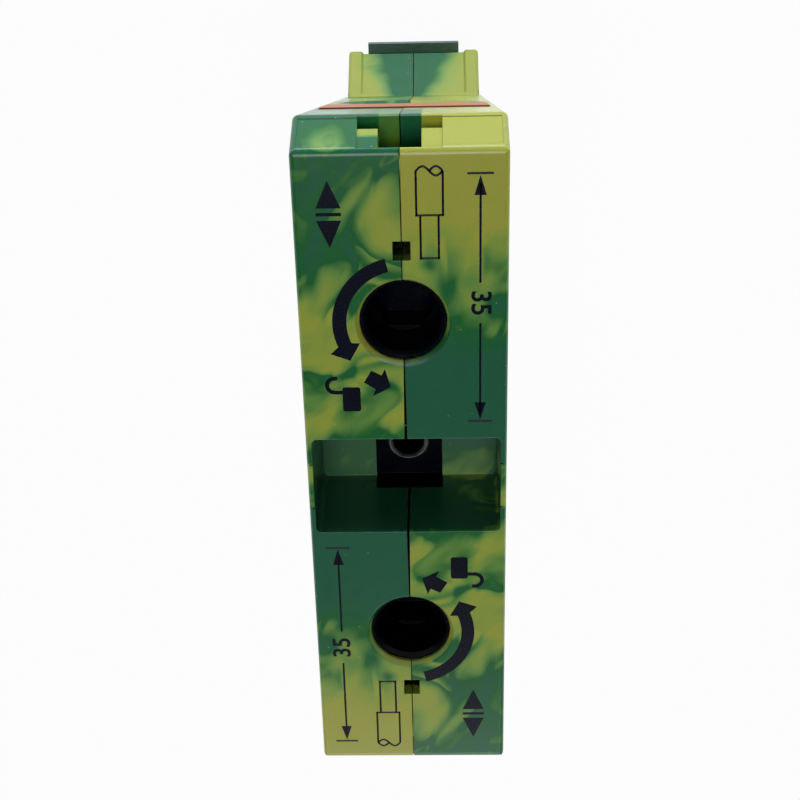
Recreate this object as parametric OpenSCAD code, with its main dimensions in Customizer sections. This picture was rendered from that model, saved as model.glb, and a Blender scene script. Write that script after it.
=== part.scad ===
// Feed-through terminal block for a 35 mm rail, with spring clamps turned by a hex key.
// X runs along the rail, Y up the front face, Z away from the rail.
// The origin is the centre of the rail seat. Sizes are in millimetres.

/* [Body] */
// Width along the rail
body_w = 25; // [24.6:0.1:26]
// Length of the front face
face_len = 87.8; // [87:0.1:90]
// Height of the front face over the rail seat
face_h = 101; // [100.5:0.1:102]
// Reach of each end facet past the front face
facet_out = 2.3; // [2:0.1:2.8]
// Fall of each end facet below the front face
facet_drop = 6.3; // [5.8:0.1:6.8]
// Length of the waist over the foot
waist_len = 42.6; // [42:0.1:43.4]
// Height of the waist over the rail seat
waist_h = 0.4; // [0.3:0.1:0.6]
// Wall at the ends
end_wall = 2; // [1.8:0.1:2.4]
// Wall on the flat sides
side_wall = 1.8; // [1.5:0.1:1.8]
// Wall of the front face
front_wall = 2; // [1.8:0.1:2.4]
// Half thickness of the middle web
web_half = 10; // [9.6:0.1:10.4]
// Gap between the two shells
seam = 0.12; // [0.08:0.02:0.2]
// Extra gap where the shells bow apart beside the pocket
seam_bow = 0.2; // [0.1:0.05:0.4]
// Radius along the outer side edges
edge_r = 0.6; // [0.4:0.1:0.65]
// Radius along the side edges of the facets and the tapered ends
end_edge_r = 0.85; // [0.6:0.05:0.9]
// Radius of the folds at the ends of the front face
fold_r = 1; // [0.6:0.1:1.4]
// Radius of the pegs that join the shells
peg_r = 1.8; // [1.5:0.1:2]
// Length of the pegs past the seam
peg_len = 4; // [3:0.5:5]

/* [Front face] */
// Distance of each tool hole from the middle
tool_y = 22.55; // [22:0.05:23]
// Radius of the tool hole
tool_hole_r = 5.25; // [5.15:0.05:5.4]
// Widening of the tool hole at the face
mouth_wide = 0.48; // [0.2:0.02:0.6]
// Depth of that widening
mouth_deep = 0.7; // [0.4:0.1:1]
// Depth of the ring that guides the key tube
guide_deep = 6.5; // [6:0.1:6.8]
// Radius of that ring
guide_r = 7.6; // [7:0.1:8]
// Distance of each test slot from the middle
test_y = 31.7; // [31.4:0.1:32.4]
// Width of the test slot
test_w = 2.1; // [1.8:0.1:2.6]
// Length of the test slot
test_len = 2.4; // [2:0.1:2.8]
// Width of the marker window in each end facet
marker_w = 9.8; // [9:0.1:10.4]
// Depth of the marker window
marker_deep = 2.2; // [1.8:0.1:2.6]
// Width of the slot in the middle of the marker window
marker_slot_w = 5; // [4.6:0.1:5.4]
// Depth of that slot
marker_slot_deep = 4.6; // [4.4:0.1:5]
// Length of the marker ledges
marker_ledge = 4.4; // [3:0.1:4.8]
// Depth of the sunk panel in each end facet
panel_deep = 0.12; // [0.08:0.02:0.2]
// Rim between that panel and the sides
panel_edge = 0.75; // [0.7:0.05:1.6]
// Width of the tongue that covers the seam over the lower marker slot
tongue_w = 1.6; // [1.2:0.1:2]
// Thickness of that tongue
tongue_t = 0.5; // [0.4:0.05:0.7]

/* [Jumper pocket] */
// Length of the pocket along the face
pocket_len = 13.6; // [13.2:0.1:14]
// Depth of the pocket
pocket_deep = 14.4; // [14:0.1:14.8]
// Thin wall at each side of the pocket
pocket_wall = 0.75; // [0.6:0.05:0.9]
// Corner radius of the pocket
pocket_r = 0.7; // [0.5:0.1:1]
// Width of the break-out tab in the thin wall
tab_w = 6.3; // [5.5:0.1:7]
// Width of the score line beside the tab
score_w = 0.24; // [0.2:0.02:0.3]
// Depth of the score line
score_deep = 0.3; // [0.2:0.05:0.4]
// Width of the black insert under the pocket
insert_w = 8.7; // [8.4:0.1:9.2]
// Height of the insert below the pocket floor
insert_h = 5.8; // [5.4:0.1:6.2]
// Rise of the insert's tabs up the pocket walls
insert_rise = 3.3; // [2.8:0.1:3.8]
// Thickness of the insert's tabs
insert_tab = 1.2; // [1:0.1:1.4]
// Outer radius of the jumper socket
socket_r = 2.7; // [2.6:0.05:2.9]
// Bore radius of the jumper socket
socket_bore_r = 2.05; // [2:0.05:2.1]
// Depth of the socket's bore
socket_deep = 15; // [12:0.5:16]
// Widening of the bore at the socket's rim
socket_lead = 0.35; // [0.2:0.05:0.4]
// Chamfer around the socket's rim
socket_edge = 0.2; // [0.1:0.05:0.25]
// Rise of the socket over the pocket floor
socket_rise = 2.9; // [2.4:0.1:3.4]
// Radius of the post under the socket
post_r = 4; // [3.8:0.1:4.2]

/* [Spindles] */
// Depth of the key tube below the face
tube_sunk = 1; // [0.8:0.1:1.3]
// Radius of the round lead-in for the key
lead_r = 4.5; // [4.4:0.05:4.6]
// Depth of the lead-in
lead_deep = 7; // [6.6:0.1:7.2]
// Widening of the lead-in at the rim
lead_wide = 0.4; // [0.2:0.05:0.5]
// Depth of that widening
lead_slope = 0.6; // [0.4:0.1:1]
// Hex key size across the flats
key_af = 8; // [7.6:0.1:8]
// Depth of the hex socket
key_deep = 4.8; // [4:0.1:5]
// Radius of the cam drum
drum_r = 8.6; // [8.4:0.1:8.8]

/* [Clamps] */
// Depth of the current bar's underside below the face
bar_deep = 51; // [50.6:0.1:51.4]
// Thickness of the current bar
bar_t = 4; // [3.6:0.1:4.2]
// Gap between the current bar and the cage's legs
bar_side = 0.9; // [0.6:0.1:1.2]
// Length of the current bar
bar_len = 55.6; // [54:0.1:55.8]
// Opening travel of the clamp
clamp_travel = 10; // [9:0.1:10.2]
// Gap under the current bar with the clamp closed
closed_gap = 3.6; // [3.2:0.1:3.8]
// Thickness of the cage's two bars
cage_t = 3; // [2.6:0.1:3.1]
// Thickness of the cage's legs
leg_t = 1.5; // [1.2:0.1:1.6]
// Inner end of the cage
cage_y0 = 15.5; // [15.3:0.1:16.5]
// Outer end of the cage
cage_y1 = 27.2; // [26:0.1:27.3]
// Length of the cage's locking lip
lip_len = 3.2; // [3:0.1:3.3]
// Width of that lip
lip_w = 9.2; // [8.4:0.1:12]
// Distance of the cam follower from the spindle's axis
follower_arm = 7; // [6.8:0.05:7.1]
// Radius of the follower's tip
follower_r = 1.2; // [1:0.1:1.4]
// Height of the clamp spring
spring_h = 16.4; // [16.2:0.1:16.5]
// Width of the clamp spring
spring_w = 13; // [11:0.5:15]
// Leaf thickness of the clamp spring
spring_t = 1.4; // [1:0.1:1.8]
// Depth of the conductor entry's axis below the current bar's underside
entry_deep = 6.8; // [6.6:0.1:7]
// Radius of the conductor entry
entry_r = 9.5; // [9.2:0.1:9.7]
// Widening of the conductor entry at the tapered end
funnel = 1.1; // [0.8:0.1:1.2]

/* [Lock latches] */
// Depth of the latch's middle below the face
lock_deep = 34.5; // [34.3:0.1:34.7]
// Width of the latch plate
lock_w = 22; // [21:0.1:22]
// Length of the latch plate
lock_len = 15.5; // [15:0.1:16]
// Thickness of the latch plate
lock_t = 1.8; // [1.7:0.05:2]
// How far the plate stands out of the wall
lock_proud = 0.2; // [0.1:0.05:0.4]
// Pressing travel of the latch
lock_travel = 2; // [1.8:0.05:2.1]
// Width of the locking pawl
pawl_w = 8; // [7:0.1:9]
// Thickness of the locking pawl
pawl_t = 3.5; // [3:0.1:3.7]
// Width of the retaining ribs
rib_w = 12; // [8:0.5:14]
// Thickness of the latch's leaf spring
lock_leaf_t = 0.25; // [0.2:0.05:0.3]
// Length of the latch's leaf spring
lock_leaf_len = 16; // [14:0.5:18]
// Width of the latch's leaf spring
lock_leaf_w = 4; // [3:0.1:5]

/* [Rail foot] */
// Width of the foot
foot_w = 23.6; // [23:0.1:24.2]
// Length over the foot
foot_len = 54.2; // [53.6:0.1:55]
// Reach of the foot below the rail seat
foot_drop = 8.7; // [8.4:0.1:9]
// Width of the rail's flanges
rail_w = 35; // [34.8:0.1:35.2]
// Room beside the rail
rail_gap = 0.4; // [0.3:0.1:0.5]
// Room for the rail's flange under the seat
rail_grip = 2.7; // [2.5:0.1:3]
// Width of the metal foot
metal_w = 16.5; // [16:0.1:17.4]
// Thickness of the metal foot's seat
seat_t = 2; // [1.6:0.1:2.2]
// Thickness of the metal foot's legs
leg_plate = 1.5; // [1.3:0.1:1.6]
// Overlap of the jaws under the rail
jaw = 1.1; // [0.9:0.05:1.1]
// Height of the jaws
jaw_h = 1.6; // [1.4:0.1:2]
// Reach of the metal lips from the middle
lip_reach = 28.4; // [28:0.1:29]
// Thickness of the metal lips
lip_t = 1.2; // [1:0.1:1.4]
// Thickness of the rail latch
latch_t = 1.2; // [1:0.1:1.3]
// Travel of the rail latch
latch_travel = 1.2; // [1.1:0.05:1.25]
// Thickness of the stop ridges that hold the latch
stop_t = 0.8; // [0.7:0.1:0.9]
// Reach of the latch's side lugs
lug = 1; // [0.8:0.1:1.2]
// Thickness of the latch's leaf spring
latch_leaf_t = 0.25; // [0.2:0.05:0.3]
// Length of the latch's leaf spring
latch_leaf_len = 14; // [12:0.5:15]
// Width of the latch's leaf spring
latch_leaf_w = 3; // [2:0.1:3.2]
// Height of the latch's side lugs
lug_h = 2; // [1.6:0.1:2.4]
// Depth of the lugs' middle below the rail seat
lug_deep = 6.5; // [6.2:0.1:6.8]
// Depth of the latch's upper end below the rail seat
latch_deep = 1.8; // [1.7:0.1:2]
// Depth of the trough in the foot's flare
flare_deep = 0.4; // [0.3:0.05:0.5]
// Width of the trough in the foot's flare
flare_w = 19; // [18:0.1:19.4]
// Run of the trough's sloping sides
flare_run = 0.4; // [0.3:0.05:1]
// Width of the ground post
ground_w = 12; // [11:0.1:12.4]
// Depth of the ground post
ground_d = 10; // [9:0.1:10.2]
// Radius of the foot screws
screw_r = 1.5; // [1.4:0.05:1.6]
// Head radius of the foot screws
screw_head_r = 2.7; // [2.5:0.1:2.8]
// Spacing of the foot screws
screw_gap = 7.2; // [7:0.1:7.4]
// Length of the foot screws
screw_len = 12; // [10:0.5:14]

/* [Clearances] */
// Running gap between moving pieces
run_gap = 0.3; // [0.25:0.05:0.3]
// Radial gap of the key tube in its hole
spin_gap = 0.1; // [0.06:0.02:0.1]
// Gap between pieces that sit together
fit_gap = 0.1; // [0.06:0.02:0.12]
// Gap of a spring's end from what it presses on
touch = 0.05; // [0.04:0.01:0.06]

/* [Hidden] */
$fn = 64;
far = 60;
fold_steps = 8;
edge_steps = 5;
hx = body_w / 2;
fy = face_len / 2;
wy = waist_len / 2;
wide_y = fy + facet_out;
wide_z = face_h - facet_drop;
taper = (wide_y - wy) / (wide_z - waist_h);
taper_a = atan(taper);
facet_a = atan(facet_out / facet_drop);
facet_len = norm([facet_out, facet_drop]);
slot_end = facet_len - 0.45;
flare_a = atan((foot_len / 2 - wy) / (foot_drop + waist_h));
flare_len = norm([foot_len / 2 - wy, foot_drop + waist_h]);
wall_y = end_wall / cos(taper_a);
inner_x = hx - side_wall;
roof_z = face_h - front_wall;
pocket_half = pocket_len / 2;
floor_z = face_h - pocket_deep;
insert_y = pocket_half + insert_tab;
insert_z = floor_z - 0.6;
insert_bottom = insert_z - insert_h;
bar_z = face_h - bar_deep;
bar_top = bar_z + bar_t;
entry_z = bar_z - entry_deep;
lock_z = face_h - lock_deep;
cage_x = inner_x - run_gap;
bar_w = 2 * (cage_x - leg_t - bar_side);
cage_low = bar_z - closed_gap;
cage_top = bar_top + spring_h + 2 * touch;
cam_slope = clamp_travel / (1.5 * follower_arm);
drum_low = cage_top + cage_t + run_gap + 0.06;
cam_z = drum_low + cam_slope * drum_r;
drum_top = roof_z - guide_deep - run_gap;
tube_r = tool_hole_r - spin_gap;
tube_top = face_h - tube_sunk;
follower_top = cam_z + cam_slope * (follower_arm - follower_r) - run_gap;
chamber_z = min(cage_low - cage_t - clamp_travel, entry_z - entry_r) - 1.9;
entry_wall_y = cage_y1 + lip_len - run_gap;
lock_back = lock_t - lock_proud;
lock_sink = lock_back + lock_travel + run_gap;
lock_floor = lock_sink + end_wall - 0.2;
pawl_tip = lock_floor + 1;
pawl_low = (cage_top + cage_t - clamp_travel - lock_z + 0.1 - pawl_tip * sin(taper_a)) / cos(taper_a);
rail_half = rail_w / 2 + rail_gap;
metal_half = metal_w / 2;
lip_top = -foot_drop - run_gap;
lip_low = lip_top - lip_t;
latch_y = rail_half + stop_t + fit_gap;
latch_room = latch_y + latch_t + latch_travel + run_gap;
peg_spots = [[fy - 5.9, wide_z - 4], [7.6, 22], [7.6, 66]];

// Height to reach of the tapered ends
function side_y(z) = wy + (z - waist_h) * taper;
// Radius of an arc from its chord and rise
function arc_r(chord, rise) = (chord * chord / 4 + rise * rise) / (2 * rise);

// Placing helpers
module along_x(x0, x1) {
  translate([x0, 0, 0])
    rotate([90, 0, 90])
      linear_extrude(x1 - x0)
        children();
}

module box(x, y0, y1, z0, z1) {
  translate([-x, y0, z0])
    cube([2 * x, y1 - y0, z1 - z0]);
}

module both_ends() {
  children();
  mirror([0, 1, 0])
    children();
}

module on_taper(z) {
  translate([0, side_y(z), z])
    rotate([-taper_a, 0, 0])
      children();
}

module on_facet() {
  translate([0, wide_y, wide_z])
    rotate([facet_a, 0, 0])
      children();
}

module on_flare() {
  translate([0, foot_len / 2, -foot_drop])
    rotate([flare_a, 0, 0])
      children();
}

module lower_copy() {
  rotate([0, 0, 180])
    children();
}

// Points of a rounded corner at p between the lines to a and b
function round_corner(p, a, b, r) =
  let (
    u = (a - p) / norm(a - p),
    v = (b - p) / norm(b - p),
    half = acos(u * v) / 2,
    c = p + (u + v) / norm(u + v) * r / sin(half),
    s = p + u * r / tan(half) - c,
    e = p + v * r / tan(half) - c
  )
  [for (i = [0 : fold_steps]) c + r * unit(s * (fold_steps - i) + e * i)];
function unit(v) = v / norm(v);

// Rounds a side edge that runs up from the local origin
module edge_cut(x, len, r) {
  arc = [for (i = [0 : edge_steps]) r * [cos(90 * i / edge_steps), sin(90 * i / edge_steps)]];
  translate([x - r, -r, -1])
    linear_extrude(len + 2)
      polygon(concat(arc, [[0, r + 1], [r + 1, r + 1], [r + 1, 0]]));
}

// Outline of the body seen along the rail
module body_outline() {
  top = [fy, face_h];
  wide = [wide_y, wide_z];
  waist = [wy, waist_h];
  half = concat(round_corner(top, [0, face_h], wide, fold_r),
    round_corner(wide, top, waist, fold_r), [waist]);
  other = [for (i = [len(half) - 1 : -1 : 0]) [-half[i][0], half[i][1]]];
  polygon(concat(half, other));
}

module foot_outline() {
  polygon([[rail_half, waist_h + 3], [rail_half, -foot_drop], [foot_len / 2, -foot_drop],
    [wy, waist_h], [wy - 1, waist_h + 3]]);
}

// Solid half of the housing on the +X side
module half_block() {
  difference() {
    union() {
      along_x(seam / 2, hx)
        body_outline();
      both_ends()
        along_x(seam / 2, foot_w / 2)
          foot_outline();
    }
    translate([0, fy, face_h])
      rotate([90, 0, 0])
        edge_cut_front();
    both_ends() {
      on_facet()
        edge_cut(hx, facet_len, end_edge_r);
      on_taper(waist_h)
        edge_cut(hx, (wide_z - waist_h) / cos(taper_a), end_edge_r);
      on_flare()
        edge_cut(foot_w / 2, (foot_drop + waist_h) / cos(flare_a) - 1, edge_r);
    }
  }
}

module edge_cut_front() {
  edge_cut(hx, face_len, edge_r);
}

// Room for one clamp, with the guide ring left standing
module clamp_chamber() {
  foot_y = side_y(chamber_z) - wall_y;
  knee_z = waist_h + (entry_wall_y + wall_y - wy) / taper;
  drop = lock_len / 2 + 1.8;
  s = sin(taper_a);
  c = cos(taper_a);
  boss_y = side_y(lock_z) - lock_floor * c;
  boss_z = lock_z + lock_floor * s;
  block_y = fy - 8;
  block_z = wide_z - 6.7;
  difference() {
    along_x(-inner_x, inner_x)
      polygon([[web_half, chamber_z], [foot_y, chamber_z], [entry_wall_y, knee_z],
        [entry_wall_y, boss_z - drop * c - 0.6], [boss_y - drop * s, boss_z - drop * c],
        [boss_y + drop * s, boss_z + drop * c], [block_y, boss_z + drop * c + 4],
        [block_y, roof_z], [web_half, roof_z]]);
    translate([0, tool_y, roof_z - guide_deep])
      cylinder(r = guide_r, h = guide_deep + 1);
  }
}

// Hollow between the clamp room and the foot
module foot_hollow() {
  low = seat_t + 4;
  high = chamber_z - end_wall;
  along_x(-inner_x, inner_x)
    polygon([[web_half, low], [side_y(low) - wall_y, low], [side_y(high) - wall_y, high],
      [web_half, high]]);
}

module tool_hole() {
  translate([0, tool_y, roof_z - guide_deep - 1])
    cylinder(r = tool_hole_r, h = front_wall + guide_deep + 2);
  translate([0, tool_y, face_h - mouth_deep])
    cylinder(r1 = tool_hole_r, r2 = tool_hole_r + mouth_wide, h = mouth_deep);
}

module test_slot() {
  box(test_w / 2, test_y - test_len / 2, test_y + test_len / 2, roof_z - 1, face_h + 1);
}

// Opening of the seam from the tool hole toward the pocket
module seam_wedge() {
  s = seam / 2;
  wide = s + seam_bow / 2;
  translate([0, 0, floor_z + insert_rise])
    linear_extrude(pocket_deep)
      polygon([[-wide, pocket_half - 1], [wide, pocket_half - 1], [wide, pocket_half + 2],
        [s, tool_y - 4], [-s, tool_y - 4], [-wide, pocket_half + 2]]);
}

module marker_window() {
  side = marker_w / 2;
  slot = marker_slot_w / 2;
  rim = 0.5;
  on_facet() {
    box(side, -marker_deep, 2, rim, facet_len - marker_ledge);
    box(side, -0.4, 2, rim, slot_end);
    box(slot, -marker_slot_deep, 2, rim, slot_end);
    box(hx - panel_edge, -panel_deep, 2, rim + 0.15, slot_end - 0.4);
  }
}

// Tongue of one shell that reaches under the other beside the lower marker slot
module seam_tongue() {
  reach = 2.35;
  on_facet()
    translate([-tongue_w / 2, -reach - 0.15, slot_end - 0.2 - tongue_t]) {
      cube([tongue_w, reach, tongue_t]);
      cube([(tongue_w - seam) / 2, reach, tongue_t + 0.4]);
    }
}

module pocket() {
  x = hx - pocket_wall;
  r = pocket_r;
  translate([0, 0, floor_z])
    linear_extrude(pocket_deep + 1) {
      square([2 * x, 2 * (pocket_half - r)], center = true);
      square([2 * (x - r), 2 * pocket_half], center = true);
      for (sx = [-1, 1], sy = [-1, 1])
        translate([sx * (x - r), sy * (pocket_half - r)])
          circle(r);
    }
  for (s = [-1, 1])
    box(x + score_deep, s * tab_w / 2 - score_w / 2, s * tab_w / 2 + score_w / 2, floor_z,
      face_h + 1);
}

// Room for the insert, the socket post, the current bar and the ground post
module middle_room() {
  y = insert_y + fit_gap;
  box(insert_w / 2 + fit_gap, -y, y, insert_bottom - fit_gap, floor_z + insert_rise + fit_gap);
  translate([0, 0, bar_z])
    cylinder(r = post_r + fit_gap, h = insert_bottom - bar_z);
  box(bar_w / 2 + fit_gap, -web_half - 1, web_half + 1, bar_z - fit_gap, bar_top + fit_gap);
  box(ground_w / 2 + fit_gap, -ground_d / 2 - fit_gap, ground_d / 2 + fit_gap, 0, bar_z + 1);
}

module conductor_hole() {
  translate([0, web_half + 8, entry_z])
    rotate([-90, 0, 0])
      cylinder(r = entry_r, h = far);
  on_taper(entry_z)
    translate([0, -2 * funnel, 0])
      rotate([-90, 0, 0])
        cylinder(r1 = entry_r - funnel, r2 = entry_r + 2 * funnel, h = 3 * funnel);
}

// Recess of the lock latch, with its rib grooves and pawl slot
module lock_recess() {
  g = run_gap;
  half = lock_len / 2 + g;
  on_taper(lock_z) {
    box(lock_w / 2 + g, -lock_sink, 3, -half, half);
    box(rib_w / 2 + g, -lock_sink, -lock_back + 0.6 + g, -half - 0.8, half + 0.8);
    box(pawl_w / 2 + g, -lock_floor - 3, 0, pawl_low - g, pawl_low + pawl_t + g);
  }
}

// Room for the metal foot and the rail latch
module foot_room() {
  g = fit_gap;
  box(metal_half + g, -rail_half - leg_plate - g, rail_half, -1, seat_t + g);
  box(metal_half + g, -rail_half - leg_plate - g, -rail_half + 1, -far, seat_t + g);
  box(metal_half + run_gap, rail_half - 1, latch_room, -far, 0.4 - latch_deep);
  box(metal_half + lug + run_gap, latch_y - fit_gap, latch_room, -lug_deep - lug_h / 2 - run_gap,
    -lug_deep + lug_h / 2 + run_gap);
}

// Trough of the foot's flare between its two cheeks
module flare_hollow() {
  x = flare_w / 2;
  inner = x - flare_run;
  out = flare_run / flare_deep;
  on_flare()
    translate([0, 0, -2])
      linear_extrude(flare_len + 1.3)
        polygon([[-x - out, 1], [-inner, -flare_deep], [inner, -flare_deep], [x + out, 1]]);
}

module shell_half() {
  difference() {
    half_block();
    both_ends() {
      clamp_chamber();
      foot_hollow();
      tool_hole();
      test_slot();
      seam_wedge();
      marker_window();
      conductor_hole();
      lock_recess();
      flare_hollow();
    }
    pocket();
    middle_room();
    foot_room();
  }
}

module housing_right() {
  color("olivedrab")
    difference() {
      shell_half();
      both_ends()
        for (p = peg_spots)
          translate([-1, p[0], p[1]])
            rotate([0, 90, 0])
              cylinder(r = peg_r + fit_gap, h = peg_len + 1.4);
    }
}

module housing_left() {
  color("yellowgreen") {
    mirror([1, 0, 0])
      shell_half();
    mirror([0, 1, 0])
      seam_tongue();
    both_ends()
      for (p = peg_spots)
        translate([-1, p[0], p[1]])
          rotate([0, 90, 0])
            cylinder(r = peg_r, h = peg_len + 1);
  }
}

// Copper bar with grooves where the conductors press
module current_bar() {
  color("peru")
    difference() {
      box(bar_w / 2, -bar_len / 2, bar_len / 2, bar_z, bar_top);
      both_ends()
        for (i = [0 : 4])
          translate([0, cage_y0 + 1.4 + 2.2 * i, bar_z])
            rotate([45, 0, 0])
              cube([bar_w + 2, 0.9, 0.9], center = true);
    }
}

module ground_post() {
  color("peru")
    difference() {
      box(ground_w / 2, -ground_d / 2, ground_d / 2, seat_t, bar_z);
      for (s = [-1, 1])
        translate([s * screw_gap / 2, 0, 0])
          cylinder(r = screw_r + touch, h = screw_len + 1);
    }
}

// Seat on the rail, with the fixed jaw and its lip
module ground_foot() {
  y = rail_half;
  color("silver")
    difference() {
      union() {
        box(metal_half, -y - leg_plate, rail_w / 2, 0, seat_t);
        box(metal_half, -y - leg_plate, -y, lip_low, seat_t);
        box(metal_half, -y - 0.5, -rail_w / 2 + jaw, -rail_grip - jaw_h, -rail_grip);
        box(metal_half, -lip_reach, -y, lip_low, lip_top);
      }
      for (s = [-1, 1])
        translate([s * screw_gap / 2, 0, 0]) {
          translate([0, 0, -1])
            cylinder(r = screw_r + touch, h = seat_t + 2);
          translate([0, 0, -0.01])
            cylinder(r1 = screw_head_r, r2 = screw_r + touch, h = 1.4);
        }
    }
}

module foot_screws() {
  color("silver")
    for (s = [-1, 1])
      translate([s * screw_gap / 2, 0, 0])
        difference() {
          union() {
            cylinder(r = screw_r, h = screw_len);
            translate([0, 0, 0.15])
              cylinder(r1 = screw_head_r - 0.2, r2 = screw_r, h = 1.15);
          }
          box(0.35, -far, far, -1, 0.6);
        }
}

// Sliding jaw with its nose, side lugs and pull lip
module rail_latch() {
  y = latch_y;
  color("dimgray") {
    box(metal_half, y, y + latch_t, lip_low, -latch_deep);
    box(metal_half, rail_w / 2 - jaw, y + 0.5, -rail_grip - jaw_h, -rail_grip);
    box(metal_half, y, lip_reach, lip_low, lip_top);
    box(metal_half + lug, y, y + latch_t, -lug_deep - lug_h / 2, -lug_deep + lug_h / 2);
  }
}

module bowed_leaf(len, rise, t) {
  r = arc_r(len, rise);
  intersection() {
    translate([0, r])
      difference() {
        circle(r, $fn = 180);
        circle(r - t, $fn = 180);
      }
    translate([-len / 2, -1])
      square([len, rise + t + 1]);
  }
}

module latch_spring() {
  y = latch_y + latch_t + touch;
  rise = latch_room - touch - y - latch_leaf_t;
  color("gainsboro")
    translate([0, y, -latch_deep - 0.2 - latch_leaf_w])
      linear_extrude(latch_leaf_w)
        bowed_leaf(latch_leaf_len, rise, latch_leaf_t);
}

// Post on the current bar with the jumper's socket on top
module jumper_socket() {
  top = floor_z + socket_rise;
  color("silver")
    difference() {
      union() {
        translate([0, 0, bar_top])
          cylinder(r = post_r, h = insert_bottom - bar_top - fit_gap);
        cylinder_from(bar_top, top - socket_edge, socket_r);
        translate([0, 0, top - socket_edge])
          cylinder(r1 = socket_r, r2 = socket_r - socket_edge, h = socket_edge);
      }
      cylinder_from(top - socket_deep, top + 1, socket_bore_r);
      translate([0, 0, top - socket_lead])
        cylinder(r1 = socket_bore_r, r2 = socket_bore_r + 2 * socket_lead, h = 2 * socket_lead);
    }
}

module socket_insert() {
  x = insert_w / 2;
  color([0.05, 0.05, 0.06])
    difference() {
      union() {
        box(x, -insert_y, insert_y, insert_bottom, insert_z);
        both_ends()
          box(x, pocket_half, insert_y, insert_bottom, floor_z + insert_rise);
      }
      translate([0, 0, insert_bottom - 1])
        cylinder(r = socket_r + fit_gap, h = insert_h + 2);
    }
}

// Key tube over a drum whose slanted end is the cam
module spindle() {
  color([0.05, 0.05, 0.06])
    translate([0, tool_y, 0])
      difference() {
        union() {
          translate([0, 0, drum_low - 1])
            cylinder(r = drum_r, h = drum_top - drum_low + 1);
          cylinder_from(drum_top - 1, tube_top, tube_r);
        }
        translate([0, 0, cam_z])
          rotate([-atan(cam_slope), 0, 0])
            translate([-far, -far, -far])
              cube([2 * far, 2 * far, far]);
        cylinder_from(tube_top - lead_deep, tube_top + 1, lead_r);
        translate([0, 0, tube_top - lead_slope])
          cylinder(r1 = lead_r, r2 = lead_r + 2 * lead_wide, h = 2 * lead_slope);
        translate([0, 0, tube_top - lead_deep - key_deep])
          cylinder(r = key_af / sqrt(3), h = key_deep + 1, $fn = 6);
      }
}

module cylinder_from(z0, z1, r) {
  translate([0, 0, z0])
    cylinder(r = r, h = z1 - z0);
}

module upper_spindle() {
  spindle();
}

module lower_spindle() {
  lower_copy()
    spindle();
}

// Frame around the current bar and the conductor, with the cam follower on top
module clamp_cage() {
  follower_y = tool_y - follower_arm;
  color("lightsteelblue") {
    difference() {
      box(cage_x, cage_y0, cage_y1, cage_low - cage_t, cage_top + cage_t);
      box(cage_x - leg_t, 0, far, cage_low, cage_top);
    }
    box(lip_w / 2, cage_y1 - 1, cage_y1 + lip_len, cage_top, cage_top + cage_t);
    box(4, follower_y - 2.4, cage_y0 + 1, cage_top, cage_top + cage_t);
    translate([0, follower_y, cage_top + cage_t - 0.5])
      cylinder(r1 = 2.3, r2 = follower_r, h = follower_top - cage_top - cage_t + 0.5);
  }
}

module upper_clamp_cage() {
  clamp_cage();
}

module lower_clamp_cage() {
  lower_copy()
    clamp_cage();
}

// Bent leaf between the current bar and the top of the cage
module clamp_spring() {
  r = spring_h / 2;
  y = web_half + 2 + r;
  color("gainsboro")
    translate([0, y, bar_top + touch + r])
      along_x(-spring_w / 2, spring_w / 2)
        difference() {
          union() {
            circle(r);
            translate([0, -r])
              square([cage_y1 + 1.5 - y, 2 * r]);
          }
          circle(r - spring_t);
          translate([0, spring_t - r])
            square([far, 2 * (r - spring_t)]);
        }
}

module upper_clamp_spring() {
  clamp_spring();
}

module lower_clamp_spring() {
  lower_copy()
    clamp_spring();
}

// Press plate with retaining ribs and the pawl that holds the cage open
module lock_latch() {
  half = lock_len / 2;
  color("darkorange")
    on_taper(lock_z) {
      box(lock_w / 2, -lock_back, lock_proud, -half, half);
      box(rib_w / 2, -lock_back, -lock_back + 0.6, -half - 0.8, half + 0.8);
      box(pawl_w / 2, -pawl_tip, -lock_back + 0.5, pawl_low, pawl_low + pawl_t);
    }
}

module upper_lock_latch() {
  lock_latch();
}

module lower_lock_latch() {
  lower_copy()
    lock_latch();
}

module lock_spring() {
  back = lock_back + touch;
  rise = lock_sink - back - touch - lock_leaf_t;
  color("gainsboro")
    on_taper(lock_z)
      translate([0, -back, 1])
        linear_extrude(lock_leaf_w)
          mirror([0, 1])
            bowed_leaf(lock_leaf_len, rise, lock_leaf_t);
}

module upper_lock_spring() {
  lock_spring();
}

module lower_lock_spring() {
  lower_copy()
    lock_spring();
}

housing_left();
housing_right();
current_bar();
ground_post();
ground_foot();
foot_screws();
rail_latch();
latch_spring();
jumper_socket();
socket_insert();
upper_spindle();
lower_spindle();
upper_clamp_cage();
lower_clamp_cage();
upper_clamp_spring();
lower_clamp_spring();
upper_lock_latch();
lower_lock_latch();
upper_lock_spring();
lower_lock_spring();
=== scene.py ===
import math

import bmesh
import bpy
from bpy.props import (
    FloatProperty,
    FloatVectorProperty,
    IntProperty,
    PointerProperty,
)
from mathutils import Matrix, Vector


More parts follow.
